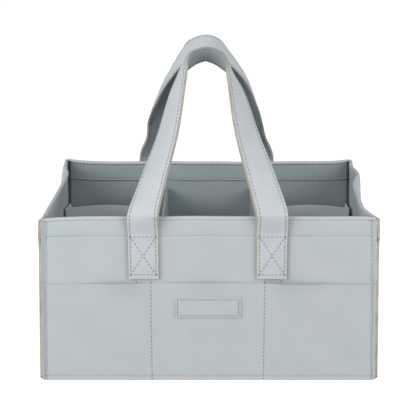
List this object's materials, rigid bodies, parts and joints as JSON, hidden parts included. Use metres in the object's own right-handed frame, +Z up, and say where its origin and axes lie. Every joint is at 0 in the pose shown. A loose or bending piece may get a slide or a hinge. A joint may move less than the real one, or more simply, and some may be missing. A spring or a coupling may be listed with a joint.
{
  "type": "diaper caddy",
  "caption": "Open box of sewn pale grey faux leather with lift-out dividers, slip and box pockets and twisted strap handles, for carrying nursery supplies.",
  "frame": {"origin": "centre of the underside, on the surface the caddy stands on", "axes": "+X to the right along the long front wall, +Y from the front wall to the back wall, +Z up"},
  "size_m": [0.3898, 0.2622, 0.3767],
  "materials": {
    "outer_leather": "pale cool grey faux leather, fine pebble grain, satin",
    "lining_leather": "pale grey faux leather lining, fine grain, matte",
    "strap_leather": "pale grey faux leather strap with raw cream edges",
    "label_leather": "bare pale grey patch, stitched all round",
    "stiffener_board": "hidden stiffener board, cream at its cut edge",
    "hook_loop_tape": "hook-and-loop tape"
  },
  "bodies": {
    "caddy": {"base_skin": "outer_leather", "base_board": "stiffener_board", "base_lining": "lining_leather", "front_skin": "outer_leather", "front_board": "stiffener_board", "front_lining": "lining_leather", "back_skin": "outer_leather", "back_board": "stiffener_board", "back_lining": "lining_leather", "left_skin": "outer_leather", "left_board": "stiffener_board", "left_lining": "lining_leather", "right_skin": "outer_leather", "right_board": "stiffener_board", "right_lining": "lining_leather", "front_outer_pocket": "outer_leather", "back_outer_pocket": "outer_leather", "label_patch": "label_leather", "front_left_inner_pocket": "lining_leather", "front_right_inner_pocket": "lining_leather", "back_left_inner_pocket": "lining_leather", "back_right_inner_pocket": "lining_leather", "front_wall_left_loop_patch": "hook_loop_tape", "front_wall_right_loop_patch": "hook_loop_tape", "back_wall_left_loop_patch": "hook_loop_tape", "back_wall_right_loop_patch": "hook_loop_tape", "front_handle_left_tab_outer_ply": "strap_leather", "front_handle_left_tab_inner_ply": "strap_leather", "front_handle_right_tab_outer_ply": "strap_leather", "front_handle_right_tab_inner_ply": "strap_leather", "back_handle_left_tab_outer_ply": "strap_leather", "back_handle_left_tab_inner_ply": "strap_leather", "back_handle_right_tab_outer_ply": "strap_leather", "back_handle_right_tab_inner_ply": "strap_leather"},
    "front_handle": {"front_handle_outer_ply": "strap_leather", "front_handle_inner_ply": "strap_leather"},
    "back_handle": {"back_handle_outer_ply": "strap_leather", "back_handle_inner_ply": "strap_leather"},
    "left_divider": {"left_divider_cover": "lining_leather", "left_divider_board": "stiffener_board", "left_divider_front_hook_patch": "hook_loop_tape", "left_divider_back_hook_patch": "hook_loop_tape"},
    "right_divider": {"right_divider_cover": "lining_leather", "right_divider_board": "stiffener_board", "right_divider_front_hook_patch": "hook_loop_tape", "right_divider_back_hook_patch": "hook_loop_tape"}
  },
  "joints": [
    {"name": "front_handle_swing", "type": "hinge", "parent": "caddy", "child": "front_handle", "pos_m": [0, -0.1282, 0.175], "axis": [1, 0, 0], "range_deg": [0, 160]},
    {"name": "back_handle_swing", "type": "hinge", "parent": "caddy", "child": "back_handle", "pos_m": [0, 0.1282, 0.175], "axis": [-1, 0, 0], "range_deg": [0, 160]},
    {"name": "left_divider_lift", "type": "slide", "parent": "caddy", "child": "left_divider", "axis": [0, 0, 1], "range_m": [0, 0.035]},
    {"name": "right_divider_lift", "type": "slide", "parent": "caddy", "child": "right_divider", "axis": [0, 0, 1], "range_m": [0, 0.035]}
  ]
}
